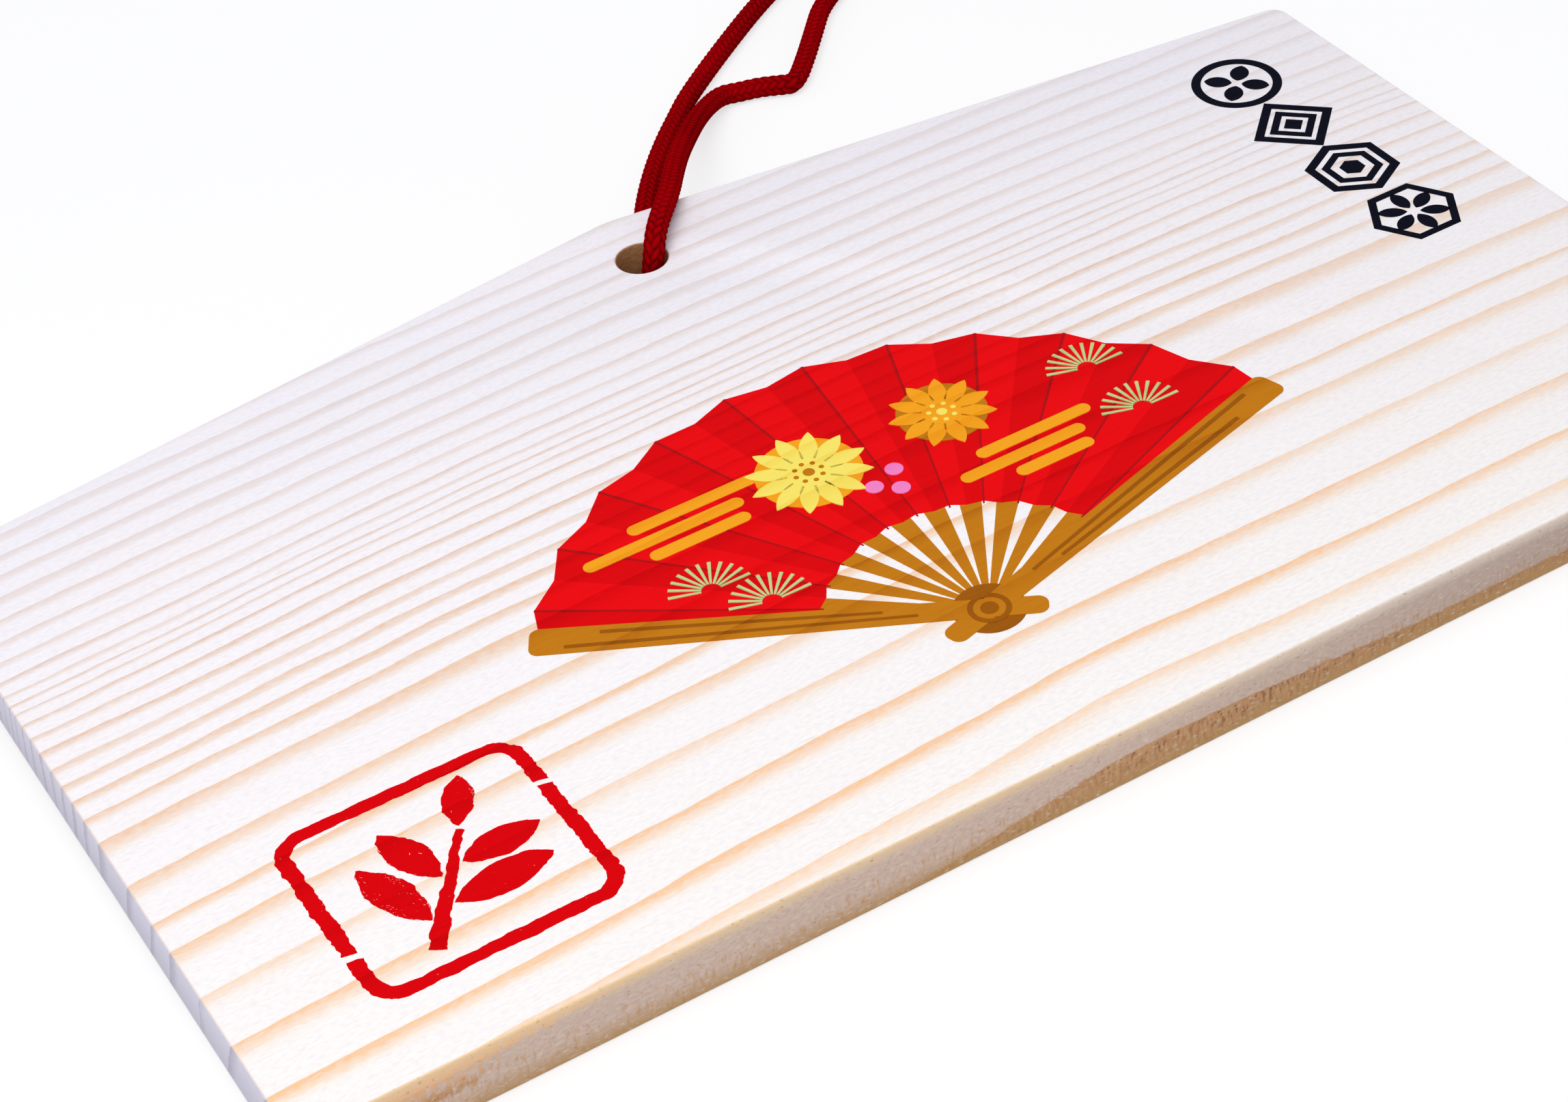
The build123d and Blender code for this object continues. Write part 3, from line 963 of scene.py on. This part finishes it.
def braided_cord(name, route):
    """A closed tube of braid along a route's smooth line, cut square at its start and rounded at its end."""
    line = smooth_line(route)
    steps = np.linalg.norm(np.diff(line, axis=0), axis=1)
    marks = np.concatenate([[0], np.cumsum(steps)])
    count = int(marks[-1] / ring_step)
    along = np.linspace(0, marks[-1], count)
    centres = np.column_stack([np.interp(along, marks, line[:, axis]) for axis in range(3)])
    headings = np.gradient(centres, axis=0)
    headings /= np.linalg.norm(headings, axis=1)[:, None]
    sideways = np.zeros_like(centres)
    sideways[0] = np.cross(headings[0], (0, 0, 1))
    for ring in range(count):
        carried = sideways[max(ring - 1, 0)]
        carried = carried - headings[ring] * carried.dot(headings[ring])
        sideways[ring] = carried / np.linalg.norm(carried)
    upward = np.cross(headings, sideways)
    around = np.arange(cord_sides) * 2 * np.pi / cord_sides
    height = braid_height(around[None, :], along[:, None])
    to_tip = np.clip((marks[-1] - along) / tip_length, 0, 1)
    rounding = np.sqrt(1 - (1 - to_tip) ** 2)
    radius = (cord_radius - braid_depth * (1 - height)) * np.maximum(rounding, 0.02)[:, None]
    rings_at = centres[:, None] + radius[..., None] * (
        np.cos(around)[None, :, None] * sideways[:, None] + np.sin(around)[None, :, None] * upward[:, None]
    )
    points = np.vstack([rings_at.reshape(-1, 3), centres[:1], centres[-1:]])
    start_pole = count * cord_sides
    corner = np.arange(cord_sides)
    beside = (corner + 1) % cord_sides
    faces = []
    for ring in range(count - 1):
        base = ring * cord_sides
        after = base + cord_sides
        faces += np.column_stack([base + corner, base + beside, after + beside, after + corner]).tolist()
    faces += np.column_stack([beside, corner, np.full(cord_sides, start_pole)]).tolist()
    last = (count - 1) * cord_sides
    faces += np.column_stack([last + corner, last + beside, np.full(cord_sides, start_pole + 1)]).tolist()
    mesh = bpy.data.meshes.new(name)
    mesh.from_pydata(points.tolist(), [], faces)
    mesh.polygons.foreach_set("use_smooth", np.ones(len(mesh.polygons), bool))
    crown = mesh.attributes.new("crown", "FLOAT", "POINT")
    crown.data.foreach_set("value", np.concatenate([height.ravel(), [0.3, 0.3]]).astype(np.float32))
    piece = bpy.data.objects.new(name, mesh)
    bpy.context.scene.collection.objects.link(piece)
    return piece, centres


dyed = bpy.data.materials.new("crimson_braid")
dyed.use_nodes = True
tree = dyed.node_tree
crown = node(tree, "ShaderNodeAttribute", attribute_name="crown").outputs["Fac"]
cord_coordinates = node(tree, "ShaderNodeTexCoord").outputs["Object"]
in_millimetres = {"Vector": cord_coordinates, "Scale": (1 / mm, 1 / mm, 1 / mm)}
cord_place = node(tree, "ShaderNodeMapping", in_millimetres).outputs[0]
fuzz = noise(tree, cord_place, (0.14, 0.14, 0.14), detail=2.0)
patches = noise(tree, cord_place, (7, 7, 7))
# Crimson dye, darker in the gaps between the braid's strands and lighter on their crowns: painted shade.
dye_and_gap_shade = blend(tree, ramp(tree, crown, (0.15, 0.0), (0.9, 1.0)), paint(76, 1, 5), paint(160, 2, 8))
dye_and_gap_shade = blend(tree, ramp(tree, patches, (0.35, 0.0), (0.7, 0.35)), dye_and_gap_shade, paint(180, 2, 8))
dye_and_gap_shade = blend(tree, ramp(tree, fuzz, (0.45, 0.0), (0.8, 0.3)), dye_and_gap_shade, paint(190, 6, 14))
fibres = node(tree, "ShaderNodeBump", {"Height": fuzz, "Distance": 0.03 * mm, "Strength": 0.6}).outputs[0]
shader = tree.nodes["Principled BSDF"]
shader.inputs["Roughness"].default_value = 0.6
shader.inputs["Specular IOR Level"].default_value = 0.0
tree.links.new(dye_and_gap_shade, shader.inputs["Base Color"])
tree.links.new(fibres, shader.inputs["Normal"])

left_route = back_leg + left_strand + knot_points(1, left_turns) + left_end
right_route = front_leg + right_strand + knot_points(-1, right_turns) + right_end
left_nodes = ("cord_back_leg", "loop_left_strand", "knot", "left_tail")
right_nodes = ("cord_front_leg", "loop_right_strand", "right_tail")
for name, route, exit_point, nodes in (
    ("left_cord", left_route, hole_back, left_nodes),
    ("right_cord", right_route, hole_front, right_nodes),
):
    cord, line = braided_cord(name, route)
    cord.data.materials.append(dyed)
    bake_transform(cord)
    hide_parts(*nodes)

# Table: a plain white sheet under the plaque, so wide that no edge of it is in view. It glows to the camera,
# so that it reads as white paper from any side, and it keeps the plaque's soft shadow.
table_size = 3.0
paper_lit = (0.8, 0.8, 0.8, 1)
paper_seen = (0.34, 0.34, 0.34, 1)


def seen_directly(tree):
    """1 for what the camera sees, also in a reflection or through glass, and 0 for light on the object."""
    rays = node(tree, "ShaderNodeLightPath").outputs
    at_second_hand = sums(tree, "MAXIMUM", rays["Is Glossy Ray"], rays["Is Transmission Ray"])
    return sums(tree, "MAXIMUM", rays["Is Camera Ray"], at_second_hand)


bpy.ops.object.select_all(action="DESELECT")
bpy.ops.mesh.primitive_plane_add(size=table_size, location=(0, 0, 0))
table = bpy.context.object
table.name = "table"
white = bpy.data.materials.new("white_table")
white.use_nodes = True
tree = white.node_tree
tree.nodes.remove(tree.nodes["Principled BSDF"])
lit = node(tree, "ShaderNodeBsdfDiffuse", {"Color": paper_lit})
shaded = node(tree, "ShaderNodeBsdfDiffuse", {"Color": paper_seen})
table_place = node(tree, "ShaderNodeTexCoord").outputs["Object"]
from_middle = node(tree, "ShaderNodeVectorMath", {0: table_place}, operation="LENGTH").outputs["Value"]
brightness = ramp(tree, from_middle, (0.25, 0.68), (0.9, 1.0))
glow = node(tree, "ShaderNodeEmission", {"Color": brightness, "Strength": 1.0})
bright = node(tree, "ShaderNodeAddShader", {0: shaded.outputs[0], 1: glow.outputs[0]})
surface = node(tree, "ShaderNodeMixShader", {0: seen_directly(tree), 1: lit.outputs[0], 2: bright.outputs[0]})
tree.links.new(surface.outputs[0], tree.nodes["Material Output"].inputs["Surface"])
table.data.materials.append(white)

# Studio light: one large soft box above the plaque, in front of it and to the left, with a weak cool fill
# from the far left. The dim bluish room lights the plaque from all round, and the camera sees it as white.
room_light = (0.37, 0.38, 0.43)
room_seen = (1.0, 1.0, 1.0)
warm_white = (1.0, 0.985, 0.965)
cool_white = (0.84, 0.87, 1.0)

world = bpy.data.worlds.new("studio")
bpy.context.scene.world = world
world.use_nodes = True
tree = world.node_tree
air = blend(tree, seen_directly(tree), room_light, room_seen)
tree.links.new(air, tree.nodes["Background"].inputs["Color"])


def soft_lamp(name, place, size, power, colour):
    """A square soft box of light at a place, turned to face the middle of the plaque."""
    lamp = bpy.data.lights.new(name, "AREA")
    lamp.size = size
    lamp.energy = power
    lamp.color = colour
    holder = bpy.data.objects.new(name, lamp)
    holder.location = place
    holder.rotation_euler = (-Vector(place)).to_track_quat("-Z", "Y").to_euler()
    bpy.context.scene.collection.objects.link(holder)


soft_lamp("overhead_box", (-0.14, -0.12, 0.52), size=0.5, power=2.33, colour=warm_white)
soft_lamp("left_fill", (-0.8, 0.1, 0.35), size=0.6, power=0.15, colour=cool_white)

# Camera: a short telephoto lens above the plaque's lower left corner, looking down across it to the right.
# Its place, turn and length were fitted to the board's straight edges in the photograph.
eye = Vector((-0.115421, -0.221862, 0.193282))
view_right = Vector((0.8555, -0.50752, -0.10266))
view_up = Vector((0.38641, 0.49378, 0.77901))
camera_data = bpy.data.cameras.new("camera")
camera_data.sensor_fit = "HORIZONTAL"
camera_data.sensor_width = 36.0
camera_data.lens = 80.117
camera_data.clip_start = 0.01
camera = bpy.data.objects.new("camera", camera_data)
camera.matrix_world = Matrix((view_right, view_up, view_right.cross(view_up))).transposed().to_4x4()
camera.location = eye
bpy.context.scene.collection.objects.link(camera)
bpy.context.scene.camera = camera
bpy.context.scene.view_settings.view_transform = "Standard"
